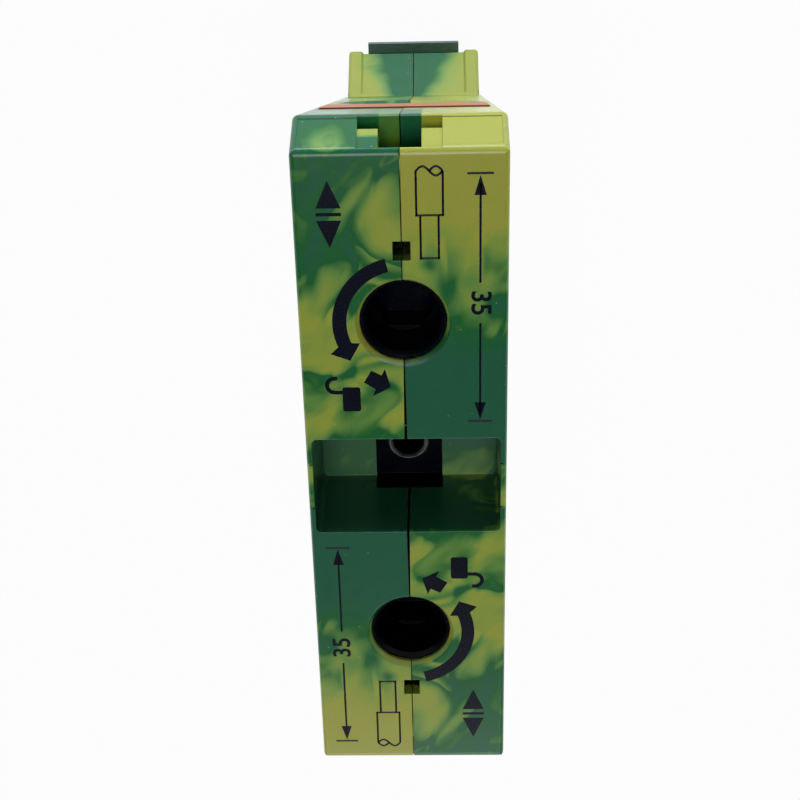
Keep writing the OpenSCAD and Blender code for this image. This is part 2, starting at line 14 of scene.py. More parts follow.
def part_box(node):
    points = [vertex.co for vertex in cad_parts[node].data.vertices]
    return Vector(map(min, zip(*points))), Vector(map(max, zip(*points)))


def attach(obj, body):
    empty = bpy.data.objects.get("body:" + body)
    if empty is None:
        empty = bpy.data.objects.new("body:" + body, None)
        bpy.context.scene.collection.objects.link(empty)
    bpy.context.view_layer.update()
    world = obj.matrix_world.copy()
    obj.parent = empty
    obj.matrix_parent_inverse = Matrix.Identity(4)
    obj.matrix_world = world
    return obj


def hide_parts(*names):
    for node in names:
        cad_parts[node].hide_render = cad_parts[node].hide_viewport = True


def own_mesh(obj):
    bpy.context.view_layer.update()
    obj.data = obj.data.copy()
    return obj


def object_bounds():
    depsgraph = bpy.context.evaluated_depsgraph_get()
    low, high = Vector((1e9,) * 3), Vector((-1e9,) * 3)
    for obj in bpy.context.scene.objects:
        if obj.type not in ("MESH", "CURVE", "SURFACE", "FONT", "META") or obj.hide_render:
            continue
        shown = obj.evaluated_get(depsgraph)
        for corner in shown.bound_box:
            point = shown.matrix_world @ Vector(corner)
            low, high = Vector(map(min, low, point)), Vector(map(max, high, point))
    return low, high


bl_info = {
    "name": "Marbled feed-through terminal block",
    "version": (1, 0, 0),
    "blender": (4, 5, 0),
    "location": "3D View > Sidebar > Terminal block",
    "description": "Finishes, printed marks, springs and stage of the terminal block",
    "category": "Object",
}

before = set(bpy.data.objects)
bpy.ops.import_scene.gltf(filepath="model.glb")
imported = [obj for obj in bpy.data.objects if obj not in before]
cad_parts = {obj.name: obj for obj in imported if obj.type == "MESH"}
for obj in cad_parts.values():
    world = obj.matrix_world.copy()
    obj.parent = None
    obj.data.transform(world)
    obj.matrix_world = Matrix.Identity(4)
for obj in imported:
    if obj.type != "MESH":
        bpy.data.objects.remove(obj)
cad_box = [list(corner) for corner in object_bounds()]

MM = 0.001
FACE_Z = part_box("housing_right")[1].z
FLOOR_Z = cad_box[0][2]
WELD = 0.000001
FINE_WELD = 0.0000005

# Share of yellow along a shell, by millimetres from its middle
LAYER_REACH = 46
LAYERS = (
    (-46, 0.12),
    (-42, 0.2),
    (-37, 0.4),
    (-32, 0.36),
    (-29, 0.3),
    (-27, 0.48),
    (-25, 0.54),
    (-22, 0.8),
    (-18.6, 0.74),
    (-16.8, 0.62),
    (-16, 0.26),
    (-14.5, 0.52),
    (-11, 0.5),
    (-8, 0.56),
    (-5, 0.2),
    (-1, 0.06),
    (8, 0.03),
    (19, 0.05),
    (21.5, 0.2),
    (23.5, 0.36),
    (28, 0.42),
    (30, 0.6),
    (32, 0.78),
    (35, 0.93),
    (46, 0.97),
)

# Clouds in the face, in millimetres: place, radius and the yellow that they add
CLOUDS = (
    (10.5, -38.5, 4.5, -0.22),
    (1.5, -35.5, 5.5, 0.42),
    (8.8, -32.5, 3.6, -0.3),
    (5.8, -31.8, 2.2, -0.24),
    (9.5, -20, 4, 0.05),
    (11.2, -14.6, 2.8, -0.34),
    (5.7, -14.2, 2.4, 0.36),
    (1.5, -15, 2, -0.25),
    (8.5, -8.4, 3, 0.2),
    (11.8, 25, 3.8, -0.34),
    (7, 25.2, 2.8, 0.18),
    (2.4, 30.2, 1.8, -0.26),
)

# Soft lamps: place, width, length and colour
LAMP_AIM = (0, 0, 0.05)
LAMPS = {
    "key_light": ((-0.02, 0.07, 0.7), 0.28, 0.28, (1, 1, 1)),
    "front_light": ((0, -0.51, 0.43), 0.6, 0.28, (1, 1, 1)),
    "side_light": ((0.03, 0.62, 0.063), 1.2, 0.14, (0.68, 0.75, 1)),
}


def colour(red, green, blue):
    """Scene colour of a screen colour given from 0 to 255."""
    parts = []
    for part in (red, green, blue):
        share = part / 255
        parts.append(share / 12.92 if share <= 0.04045 else ((share + 0.055) / 1.055) ** 2.4)
    return tuple(parts)


def tint(name, description, red, green, blue):
    return FloatVectorProperty(
        name=name,
        description=description,
        subtype="COLOR",
        size=3,
        min=0,
        max=1,
        default=colour(red, green, blue),
    )


def span(name, description, millimetres):
    return FloatProperty(
        name=name,
        description=description,
        unit="LENGTH",
        subtype="DISTANCE",
        precision=5,
        default=millimetres * MM,
    )


def share(name, description, value):
    return FloatProperty(
        name=name, description=description, subtype="FACTOR", min=0, max=1, default=value
    )


def power(name, description, watts):
    return FloatProperty(name=name, description=description, unit="POWER", default=watts)


class ShellLook(bpy.types.PropertyGroup):
    """Colours and flow of the marbled shells"""

    deep_green: tint("Deep green", "Darkest colour of the melt", 36, 101, 73)
    leaf_green: tint("Leaf green", "Main green of the melt", 27, 106, 50)
    lime: tint("Lime", "Colour where green and yellow run together", 106, 152, 72)
    olive_yellow: tint("Olive yellow", "Yellow with a little green in it", 152, 172, 70)
    yellow: tint("Yellow", "Palest colour of the melt", 172, 175, 68)
    large_fold: span("Large fold", "How far the wide swirls push the layers", 11)
    drift: span("Drift", "How far the layers wander below the face", 110)
    small_fold: span("Small fold", "How far the narrow swirls push the layers", 3.2)
    edge_round: span("Edge round", "Softness of the moulded edges", 0.16)
    roughness: share("Roughness", "Roughness of the moulded skin", 0.23)


class PrintLook(bpy.types.PropertyGroup):
    """Sizes and ink of the marks on the face"""

    ink: tint("Ink", "Colour of the printed marks", 5, 9, 27)
    ink_height: span("Ink height", "Thickness of the printed layer", 0.03)
    line_width: span("Line width", "Width of the lines of the wire picture", 0.26)
    ring_inner: span("Arrow inner radius", "Inside of the curved arrow", 6.75)
    ring_outer: span("Arrow outer radius", "Outside of the curved arrow", 8.45)
    number_size: span("Number size", "Height of the number on the strip measure", 3.3)
    halves: IntProperty(
        name="Halves", description="How often each mark stands on the face", default=2, min=1, max=2
    )


class PartLook(bpy.types.PropertyGroup):
    """Colours of the pieces that the shells hold"""

    black: tint("Black plastic", "Key spindles and socket insert", 3, 5, 14)
    orange: tint("Orange plastic", "Lock latches", 172, 90, 42)
    copper: tint("Copper", "Current bar and ground post", 216, 150, 116)
    tin: tint("Tin plate", "Jumper socket", 206, 207, 210)
    # Radius inside which the jumper socket's bore is painted dark as shade
    socket_bore: span("Socket bore", "Radius of the jumper socket's dark bore", 2.05)
    zinc: tint("Zinc plate", "Clamp cages, rail foot and screws", 186, 188, 188)
    dark_steel: tint("Dark steel", "Sprung rail latch", 104, 124, 128)
    spring_steel: tint("Spring steel", "Springs", 176, 178, 180)


class StageLook(bpy.types.PropertyGroup):
    """Camera, floor and light"""

    eye: FloatVectorProperty(
        name="Camera place",
        description="Where the camera stands",
        subtype="TRANSLATION",
        unit="LENGTH",
        size=3,
        precision=5,
        default=(0.00448, 0.09576, 0.26112),
    )
    lens: FloatProperty(
        name="Lens", description="Focal length", unit="CAMERA", default=66.64, min=1
    )
    sky: share("Sky", "Level of the dome overhead", 0.08)
    dome: share("Dome light", "Share of the dome's level that lights the block", 0.32)
    key_watts: power("Key light", "Power of the soft light overhead", 1.36)
    front_watts: power("Front light", "Power of the soft light over the lower end", 1.35)
    side_watts: power("Side light", "Power of the low light at the upper end", 6.4)
    floor_white: share("Floor glow", "Share of plain white that is seen of the floor", 0.96)


def add(tree, kind, inputs=None, **settings):
    """Adds one node; an input is a value or the socket that feeds it."""
    node = tree.nodes.new(kind)
    for name, value in settings.items():
        setattr(node, name, value)
    for name, value in (inputs or {}).items():
        if isinstance(value, bpy.types.NodeSocket):
            tree.links.new(value, node.inputs[name])
        else:
            node.inputs[name].default_value = value
    return node


def number(tree, operation, first, second=0.0, clamp=False):
    return add(
        tree, "ShaderNodeMath", {0: first, 1: second}, operation=operation, use_clamp=clamp
    ).outputs[0]


def vector(tree, operation, first, second):
    return add(tree, "ShaderNodeVectorMath", {0: first, 1: second}, operation=operation).outputs[0]


def remap(tree, value, low, high, to_low, to_high, smooth=False):
    return add(
        tree,
        "ShaderNodeMapRange",
        {0: value, 1: low, 2: high, 3: to_low, 4: to_high},
        interpolation_type="SMOOTHSTEP" if smooth else "LINEAR",
    ).outputs[0]


def noise(tree, where, scale, detail=2.0, roughness=0.5, distortion=0.0):
    return add(
        tree,
        "ShaderNodeTexNoise",
        {
            "Vector": where,
            "Scale": scale,
            "Detail": detail,
            "Roughness": roughness,
            "Distortion": distortion,
        },
    )


def ramp(tree, value, stops, interpolation="LINEAR"):
    """Colour ramp from (place, colour) pairs."""
    node = add(tree, "ShaderNodeValToRGB", {0: value})
    band = node.color_ramp
    band.interpolation = interpolation
    while len(band.elements) > 1:
        band.elements.remove(band.elements[-1])
    for i, (place, paint) in enumerate(stops):
        stop = band.elements[0] if i == 0 else band.elements.new(place)
        stop.position = place
        stop.color = (*paint, 1)
    return node.outputs[0]


def new_finish(name):
    """Empty material with one surface shader, and its place in millimetres."""
    finish = bpy.data.materials.new(name)
    finish.use_nodes = True
    tree = finish.node_tree
    tree.nodes.clear()
    out = tree.nodes.new("ShaderNodeOutputMaterial")
    skin = tree.nodes.new("ShaderNodeBsdfPrincipled")
    tree.links.new(skin.outputs[0], out.inputs[0])
    place = add(tree, "ShaderNodeTexCoord").outputs["Object"]
    scaled = add(tree, "ShaderNodeMapping", {"Vector": place, "Scale": (1000, 1000, 1000)})
    return finish, tree, skin, scaled


def soften(tree, skin, radius, height, depth, strength):
    """Soft edges, and the fine relief of a skin over them."""
    edge = add(tree, "ShaderNodeBevel", {"Radius": radius}, samples=6).outputs[0]
    relief = add(
        tree,
        "ShaderNodeBump",
        {"Height": height, "Normal": edge, "Distance": depth, "Strength": strength},
    ).outputs[0]
    tree.links.new(relief, skin.inputs["Normal"])


def drawn_out(tree, where):
    """Place that changes slowly along the way the melt ran."""
    return add(
        tree,
        "ShaderNodeMapping",
        {"Vector": where, "Rotation": (0, 0, math.radians(-40)), "Scale": (1, 1.6, 1)},
        vector_type="TEXTURE",
    ).outputs[0]


def pushed(tree, swirl, reach):
    """How far a swirl moves each place, in millimetres."""
    centred = vector(tree, "SUBTRACT", swirl, (0.5, 0.5, 0.5))
    return vector(tree, "MULTIPLY", centred, (reach / MM,) * 3)


def stir(tree, place, rise, look):
    """Push of the narrow swirls, and the places after wide swirls, drift and that push."""
    wide = noise(tree, place, scale=0.062, detail=1.5, roughness=0.45).outputs["Color"]
    folded = vector(tree, "ADD", place, pushed(tree, wide, look.large_fold))
    drift = noise(tree, place, scale=0.024, detail=1.5, roughness=0.45).outputs[0]
    drift = number(tree, "SUBTRACT", drift, 0.5)
    below_face = remap(tree, rise, 86, 30, 0, look.drift / MM, True)
    drift = number(tree, "MULTIPLY", drift, below_face)
    sideways = add(tree, "ShaderNodeCombineXYZ", {1: drift}).outputs[0]
    folded = vector(tree, "ADD", folded, sideways)
    flow = drawn_out(tree, folded)
    narrow = noise(tree, flow, scale=0.2, detail=1.2, roughness=0.45).outputs["Color"]
    push = pushed(tree, narrow, look.small_fold)
    return push, vector(tree, "ADD", folded, push)


def layered(tree, nudged, along):
    """Share of yellow from the layers along a shell and the clouds in its face."""
    stops = [((y + LAYER_REACH) / (2 * LAYER_REACH), (v, v, v)) for y, v in LAYERS]
    amount = ramp(tree, remap(tree, along, -LAYER_REACH, LAYER_REACH, 0, 1), stops, "EASE")
    flat = vector(tree, "MULTIPLY", nudged, (1, 1, 0))
    for x, y, radius, gain in CLOUDS:
        away = add(
            tree, "ShaderNodeVectorMath", {0: flat, 1: (x, y, 0)}, operation="DISTANCE"
        ).outputs["Value"]
        amount = number(tree, "ADD", amount, remap(tree, away, radius, 0, 0, gain, True))
    return amount


def veined(tree, stirred, amount, calm):
    """Threads and soft-edged veils where green and yellow meet."""
    flow = drawn_out(tree, stirred)
    threads = noise(tree, flow, scale=0.24, detail=1.4, roughness=0.5, distortion=1.2).outputs[0]
    veils = noise(tree, flow, scale=0.11, detail=1.5, roughness=0.45, distortion=0.8).outputs[0]
    fold = number(tree, "FRACT", number(tree, "MULTIPLY", veils, 4.5))
    crest = 0.8
    rising = remap(tree, fold, 0, crest, -0.7, 0.7, True)
    falling = remap(tree, fold, 1, crest, -0.7, 0.7, True)
    sheet = number(tree, "MINIMUM", rising, falling)
    swing = number(tree, "ADD", remap(tree, threads, 0.25, 0.75, -0.6, 0.6), sheet)
    swing = number(tree, "MULTIPLY", swing, calm)
    mixing = number(tree, "MULTIPLY", amount, number(tree, "SUBTRACT", 1.0, amount))
    return number(tree, "ADD", amount, number(tree, "MULTIPLY", mixing, swing), True)


def specks_and_pale_film(tree, melt, place, side, end, rise):
    """Melt with pale specks, and a pale film that lightens the pocket's floor."""
    grains = add(tree, "ShaderNodeTexVoronoi", {"Vector": place, "Scale": 0.55})
    speck = remap(tree, grains.outputs["Distance"], 0.035, 0.05, 0.3, 0)
    film = remap(tree, rise, 88, 86.5, 0, 0.07)
    film = number(tree, "MULTIPLY", film, remap(tree, end, 7, 6.8, 0, 1))
    film = number(tree, "MULTIPLY", film, remap(tree, side, 12, 11.5, 0, 1))
    return add(
        tree,
        "ShaderNodeMix",
        {0: number(tree, "MAXIMUM", speck, film), 6: melt, 7: (0.8, 0.84, 0.78, 1)},
        data_type="RGBA",
    ).outputs[2]


def marbled(name, look, turned):
    """Green and yellow melt that was stirred little; one shell is the other one turned."""
    finish, tree, skin, scaled = new_finish(name)
    scaled.inputs["Rotation"].default_value = (0, 0, math.pi if turned else 0)
    place = scaled.outputs[0]
    spot = add(tree, "ShaderNodeSeparateXYZ", {0: place}).outputs
    side = number(tree, "ABSOLUTE", spot[0])
    end = number(tree, "ABSOLUTE", spot[1])
    rise = spot[2]

    push, stirred = stir(tree, place, rise, look)
    nudged = vector(tree, "ADD", place, push)
    parts = add(tree, "ShaderNodeSeparateXYZ", {0: stirred}).outputs
    amount = layered(tree, nudged, parts[1])

    # The foot is green in the middle, least so at its root, and yellow at both cheeks
    across = number(tree, "ABSOLUTE", parts[0])
    across = number(tree, "ADD", across, remap(tree, rise, -9, 2, -1.4, 2.2))
    cheek = remap(tree, across, 2.4, 8.6, 0.24, 0.9, True)
    sole = add(tree, "ShaderNodeSeparateXYZ", {0: nudged}).outputs[2]
    foot = remap(tree, sole, 6, 1, 0, 1, True)
    amount = add(tree, "ShaderNodeMix", {0: foot, 2: amount, 3: cheek}).outputs[0]

    # Yellow that a small form adds, then its bounds: measure, where it ends, where it is full
    streaks = (
        # tabs beside the pocket
        (0.5, (side, 11.6, 11.9), (end, 3.6, 2.6), (rise, 84, 92)),
        # floor of the pocket
        (0.2 if turned else 0.06, (side, 11.6, 11.4), (end, 7, 6.8), (rise, 90, 86)),
        # marker slot: lime in the left shell's half, and deep green in the right shell's half as
        # painted shade of the deep slot
        (
            0.3 if turned else -0.85,
            (side, 2.6, 2.4),
            (end, 38, 40),
            (rise, 100.5, 100.3),
            (rise, 72, 86),
        ),
        # walls of the pocket, made deep green: painted shade in the recess
        (-0.36, (side, 11.6, 11.4), (end, 8.4, 7.6), (rise, 99.8, 99.2), (rise, 87, 88.5)),
        # chamfers of the key holes, made lime: painted light glowing through the plastic at the
        # holes' rims
        (
            0.24,
            (side, 8, 7.4),
            (end, 9, 10),
            (end, 30, 28),
            (rise, 100.95, 100.7),
            (rise, 98, 99),
        ),
        # panel of one facet
        (
            0.34 if turned else 0,
            (side, 4.6, 7.6),
            (side, 12.2, 9.6),
            (end, 43.6, 44.2),
            (end, 46, 44.4),
        ),
        # ledge in the marker slot
        (
            0.6 if turned else 0,
            (side, 5, 4.8),
            (end, 42, 43),
            (rise, 98.4, 97.6),
            (rise, 96, 96.4),
        ),
    )
    for gain, *bounds in streaks:
        for measure, off, full in bounds:
            gain = number(tree, "MULTIPLY", remap(tree, measure, off, full, 0, 1), gain)
        amount = number(tree, "ADD", amount, gain)
    most = 0.98
    least = remap(tree, parts[1], -4, -10, 0.02, 0.2)
    amount = number(tree, "MAXIMUM", number(tree, "MINIMUM", amount, most), least)

    on_facets = remap(tree, end, 43.4, 44.4, 1, 0.15)
    on_foot = remap(tree, foot, 0, 1, 1, 0.12)
    amount = veined(tree, stirred, amount, number(tree, "MULTIPLY", on_facets, on_foot))
    melt = ramp(
        tree,
        amount,
        [
            (0.06, look.deep_green),
            (0.3, look.leaf_green),
            (0.5, look.lime),
            (0.72, look.olive_yellow),
            (0.95, look.yellow),
        ],
    )
    melt = specks_and_pale_film(tree, melt, place, side, end, rise)
    tree.links.new(melt, skin.inputs["Base Color"])

    cloud = noise(tree, place, scale=0.8, detail=3).outputs[0]
    rough = remap(tree, cloud, 0.3, 0.7, look.roughness - 0.03, look.roughness + 0.02)
    tree.links.new(rough, skin.inputs["Roughness"])
    grain = noise(tree, place, scale=7.0, detail=2).outputs[0]
    soften(tree, skin, look.edge_round, grain, depth=0.000006, strength=0.25)
    skin.inputs["IOR"].default_value = 1.5
    skin.inputs["Specular IOR Level"].default_value = 0.42
    return finish


def gloss_plastic(name, paint, roughness, wear, shine):
    """Smooth moulded plastic with faint clouds and fine handling marks."""
    finish, tree, skin, scaled = new_finish(name)
    place = scaled.outputs[0]
    cloud = noise(tree, place, scale=0.5, detail=4, roughness=0.6).outputs[0]
    pale = tuple(min(1, c * (1 + wear) + 0.004 * wear) for c in paint)
    melt = ramp(tree, cloud, [(0.35, paint), (0.7, pale)])
    tree.links.new(melt, skin.inputs["Base Color"])
    scratch = add(tree, "ShaderNodeMapping", {"Vector": place, "Scale": (6, 0.5, 6)}).outputs[0]
    marks = noise(tree, scratch, scale=1.5, detail=3, roughness=0.6).outputs[0]
    rough = remap(tree, marks, 0.3, 0.7, roughness - 0.04, roughness + 0.08)
    tree.links.new(rough, skin.inputs["Roughness"])
    grain = noise(tree, place, scale=9.0, detail=2).outputs[0]
    soften(tree, skin, 0.05 * MM, grain, depth=0.000004, strength=0.2)
    skin.inputs["IOR"].default_value = 1.5
    skin.inputs["Specular IOR Level"].default_value = shine
    return finish


def painted_ring_light(tree, place, paint, bore):
    """Plating of a tube with painted shade in its bore and painted highlights at the left and right
    of its rim.
    """
    flat = vector(tree, "MULTIPLY", place, (1, 1, 0))
    away = add(tree, "ShaderNodeVectorMath", {0: flat}, operation="LENGTH").outputs["Value"]
    across = number(tree, "ABSOLUTE", add(tree, "ShaderNodeSeparateXYZ", {0: flat}).outputs[0])
    # Painted highlight: the rim's plating is brightest at its left and right sides
    painted_side_highlight = remap(tree, number(tree, "DIVIDE", across, away), 0.35, 0.95, 0.16, 1, True)
    wall = bore / MM
    # Painted shade: inside the bore's radius the plating is painted dark
    painted_bore_shade = remap(tree, away, wall + 0.01, wall + 0.08, 0.02, 1)
    shade = number(tree, "MULTIPLY", painted_side_highlight, painted_bore_shade)
    return add(
        tree, "ShaderNodeVectorMath", {0: paint, "Scale": shade}, operation="SCALE"
    ).outputs[0]


def plated(name, paint, roughness, brush, bore=None):
    """Metal with the fine lines of rolling or stamping and cloudy plating."""
    finish, tree, skin, scaled = new_finish(name)
    place = scaled.outputs[0]
    lines = add(tree, "ShaderNodeMapping", {"Vector": place, "Scale": brush}).outputs[0]
    rolled = noise(tree, lines, scale=1.0, detail=3, roughness=0.6).outputs[0]
    cloud = noise(tree, place, scale=0.35, detail=4, roughness=0.6).outputs[0]
    dull = tuple(c * 0.78 for c in paint)
    half_rolled = number(tree, "MULTIPLY", rolled, 0.5)
    mixed = number(tree, "ADD", half_rolled, number(tree, "MULTIPLY", cloud, 0.5))
    melt = ramp(tree, mixed, [(0.35, dull), (0.62, paint)])
    # A bore gives the plating painted highlights at its sides and painted shade in its bore
    if bore:
        melt = painted_ring_light(tree, place, melt, bore)
    tree.links.new(melt, skin.inputs["Base Color"])
    rough = remap(tree, mixed, 0.3, 0.7, roughness + 0.1, roughness - 0.06)
    tree.links.new(rough, skin.inputs["Roughness"])
    skin.inputs["Metallic"].default_value = 1.0
    soften(tree, skin, 0.1 * MM, rolled, depth=0.000005, strength=0.3)
    return finish


def printed(name, paint):
    """Pad-print ink with small pinholes in its film."""
    finish, tree, skin, scaled = new_finish(name)
    place = scaled.outputs[0]
    film = noise(tree, place, scale=5.0, detail=4, roughness=0.7).outputs[0]
    thin = tuple(min(1, c * 1.6 + 0.003) for c in paint)
    tree.links.new(ramp(tree, film, [(0.45, paint), (0.75, thin)]), skin.inputs["Base Color"])
    tree.links.new(remap(tree, film, 0.3, 0.7, 0.22, 0.3), skin.inputs["Roughness"])
    bump = add(tree, "ShaderNodeBump", {"Height": film, "Distance": 0.00001, "Strength": 0.2})
    tree.links.new(bump.outputs[0], skin.inputs["Normal"])
    skin.inputs["Specular IOR Level"].default_value = 0.18
    return finish


def dress(names, finish):
    """Gives CAD nodes a finish."""
    for name in names:
        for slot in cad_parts[name].material_slots:
            slot.material = finish


def drawing(name):
    return bpy.data.meshes.new(name), bmesh.new()


def piece_from(name, mesh):
    piece = bpy.data.objects.new(name, mesh)
    bpy.context.scene.collection.objects.link(piece)
    return piece


def solid_shapes(name, outlines, low, high):
    """Closed plates from flat outlines, given in millimetres."""
    mesh, work = drawing(name)
    for outline in outlines:
        base = work.faces.new([work.verts.new((x * MM, y * MM, low)) for x, y in outline])
        raised = bmesh.ops.extrude_face_region(work, geom=[base])
        tops = [v for v in raised["geom"] if isinstance(v, bmesh.types.BMVert)]
        bmesh.ops.translate(work, verts=tops, vec=(0, 0, high - low))
    bmesh.ops.recalc_face_normals(work, faces=work.faces)
    bmesh.ops.triangulate(work, faces=work.faces)
    work.to_mesh(mesh)
    work.free()
    return mesh


def paths(name, lines, level):
    """Open paths as edges, given in millimetres."""
    mesh, work = drawing(name)
    for line in lines:
        row = [work.verts.new((x * MM, y * MM, level)) for x, y in line]
        for first, second in zip(row, row[1:]):
            work.edges.new((first, second))
    work.to_mesh(mesh)
    work.free()
    return mesh


def ink_tree(name, stroked):
    """Repeats a mark round the middle of the face; a stroked mark is drawn along its path first."""
    tree = bpy.data.node_groups.new(name, "GeometryNodeTree")
    sockets = tree.interface
    sockets.new_socket("Mark", in_out="INPUT", socket_type="NodeSocketGeometry")
    for label, kind in (
        ("Halves", "NodeSocketInt"),
        ("Turn", "NodeSocketFloat"),
        ("Line width", "NodeSocketFloat"),
        ("Ink height", "NodeSocketFloat"),
        ("Ink", "NodeSocketMaterial"),
    ):
        sockets.new_socket(label, in_out="INPUT", socket_type=kind)
    sockets.new_socket("Print", in_out="OUTPUT", socket_type="NodeSocketGeometry")
    given = tree.nodes.new("NodeGroupInput").outputs
    mark = given["Mark"]
    if stroked:
        path = add(tree, "GeometryNodeMeshToCurve", {0: mark}).outputs[0]
        level = add(tree, "GeometryNodeSetCurveNormal", {0: path}, mode="Z_UP").outputs[0]
        nib = add(
            tree,
            "GeometryNodeCurvePrimitiveQuadrilateral",
            {"Width": given["Line width"], "Height": given["Ink height"]},
        ).outputs[0]
        mark = add(
            tree,
            "GeometryNodeCurveToMesh",
            {"Curve": level, "Profile Curve": nib, "Fill Caps": True},
        ).outputs[0]
    spots = add(tree, "GeometryNodePoints", {"Count": given["Halves"]}).outputs[0]
    index = add(tree, "GeometryNodeInputIndex").outputs[0]
    angle = number(tree, "MULTIPLY", index, given["Turn"])
    facing = add(tree, "ShaderNodeCombineXYZ", {2: angle}).outputs[0]
    set_down = add(
        tree,
        "GeometryNodeInstanceOnPoints",
        {"Points": spots, "Instance": mark, "Rotation": facing},
    ).outputs[0]
    real = add(tree, "GeometryNodeRealizeInstances", {0: set_down}).outputs[0]
    inked = add(tree, "GeometryNodeSetMaterial", {0: real, "Material": given["Ink"]}).outputs[0]
    out = tree.nodes.new("NodeGroupOutput")
    tree.links.new(inked, out.inputs["Print"])
    return tree


def print_mark(name, mesh, look, stroked=False):
    """Prints one mark on both halves of the face and leaves it as a plain mesh."""
    tree_name = "stroke_print" if stroked else "plate_print"
    tree = bpy.data.node_groups.get(tree_name) or ink_tree(tree_name, stroked)
    ink = bpy.data.materials.get("print_ink") or printed("print_ink", look.ink)
    draft = piece_from(name + "_draft", mesh)
    press = draft.modifiers.new("press", "NODES")
    press.node_group = tree
    values = {
        "Halves": look.halves,
        "Turn": math.pi,
        "Line width": look.line_width,
        "Ink height": look.ink_height,
        "Ink": ink,
    }
    for item in tree.interface.items_tree:
        if item.in_out == "INPUT" and item.name in values:
            press[item.identifier] = values[item.name]
    graph = bpy.context.evaluated_depsgraph_get()
    plain = bpy.data.meshes.new_from_object(draft.evaluated_get(graph), depsgraph=graph)
    bpy.data.objects.remove(draft)
    if not plain.polygons:
        raise RuntimeError(name + " printed nothing")
    plain.name = name
    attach(piece_from(name, plain), "block")


def ink_levels(look):
    """Lowest and highest level of the ink: half of it lies in the face."""
    return FACE_Z - look.ink_height / 2, FACE_Z + look.ink_height / 2


def arc(x, y, radius, start, end, steps):
    """Points on a circle, angles in degrees."""
    turns = [math.radians(start + (end - start) * i / steps) for i in range(steps + 1)]
    return [(x + radius * math.cos(t), y + radius * math.sin(t)) for t in turns]


def beside(points, x, y):
    """A mark drawn upright, turned to read up the face and set down at a place."""
    return [(x - v, y + u) for u, v in points]


class BLOCK_OT_finish_shells(bpy.types.Operator):
    """Gives both shells their marbled green and yellow skin"""

    bl_idname = "block.finish_shells"
    bl_label = "Finish the shells"

    def execute(self, context):
        look = context.scene.shell_look
        dress(["housing_right"], marbled("marbled_right", look, False))
        dress(["housing_left"], marbled("marbled_left", look, True))
        return {"FINISHED"}


class BLOCK_OT_finish_black_parts(bpy.types.Operator):
    """Gives the key spindles and the socket insert their gloss black"""

    bl_idname = "block.finish_black_parts"
    bl_label = "Finish the black parts"

    def execute(self, context):
        paint = tuple(context.scene.part_look.black)
        black = gloss_plastic("gloss_black", paint, roughness=0.16, wear=0.6, shine=0.11)
        dress(["upper_spindle", "lower_spindle", "socket_insert"], black)
        return {"FINISHED"}


class BLOCK_OT_finish_lock_latches(bpy.types.Operator):
    """Gives the lock latches their orange"""

    bl_idname = "block.finish_lock_latches"
    bl_label = "Finish the lock latches"

    def execute(self, context):
        paint = tuple(context.scene.part_look.orange)
        orange = gloss_plastic("latch_orange", paint, roughness=0.4, wear=0.08, shine=0.25)
        dress(["upper_lock_latch", "lower_lock_latch"], orange)
        return {"FINISHED"}


class BLOCK_OT_finish_metal(bpy.types.Operator):
    """Gives the bar, the socket, the cages and the rail foot their metals"""

    bl_idname = "block.finish_metal"
    bl_label = "Finish the metal parts"

    def execute(self, context):
        look = context.scene.part_look
        copper = plated("bare_copper", tuple(look.copper), roughness=0.3, brush=(3, 0.15, 3))
        dress(["current_bar", "ground_post"], copper)
        # The jumper socket's tin gets painted highlights on its rim and painted shade in its bore
        tin = plated("tin_plate", tuple(look.tin), 0.34, brush=(2, 2, 0.2), bore=look.socket_bore)
        dress(["jumper_socket"], tin)
        zinc = plated("zinc_plate", tuple(look.zinc), roughness=0.34, brush=(2, 0.3, 0.3))
        dress(["ground_foot", "foot_screws", "upper_clamp_cage", "lower_clamp_cage"], zinc)
        steel = plated("dark_steel", tuple(look.dark_steel), roughness=0.42, brush=(0.3, 2, 2))
        dress(["rail_latch"], steel)
        return {"FINISHED"}


class BLOCK_OT_make_springs(bpy.types.Operator):
    """Makes welded copies of the springs in spring steel and hangs them on the block"""

    bl_idname = "block.make_springs"
    bl_label = "Make the springs"

    def execute(self, context):
        paint = tuple(context.scene.part_look.spring_steel)
        steel = plated("spring_steel", paint, roughness=0.26, brush=(0.3, 3, 3))
        upper_press = (0, 0.966864, -0.255292)
        lower_press = (0, -0.966864, -0.255292)
        # spring, joint that presses it, axis, end that is held, share of length that is left
        springs = (
            ("upper_clamp_spring", "upper_cage_slide", (0, 0, 1), -1, 0.39),
            ("lower_clamp_spring", "lower_cage_slide", (0, 0, 1), -1, 0.39),
            ("upper_lock_spring", "upper_lock_slide", upper_press, -1, 0.09),
            ("lower_lock_spring", "lower_lock_slide", lower_press, -1, 0.09),
            ("latch_spring", "rail_latch_slide", (0, 1, 0), 1, 0.14),
        )
        for name, joint, axis, end, keep in springs:
            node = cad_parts[name]
            mesh = node.data.copy()
            work = bmesh.new()
            work.from_mesh(mesh)
            bmesh.ops.remove_doubles(work, verts=work.verts, dist=WELD)
            work.to_mesh(mesh)
            work.free()
            mesh.materials.clear()
            mesh.materials.append(steel)
            piece = piece_from("bent_" + name, mesh)
            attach(piece, "block")
            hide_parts(name)
            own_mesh(piece)
        return {"FINISHED"}


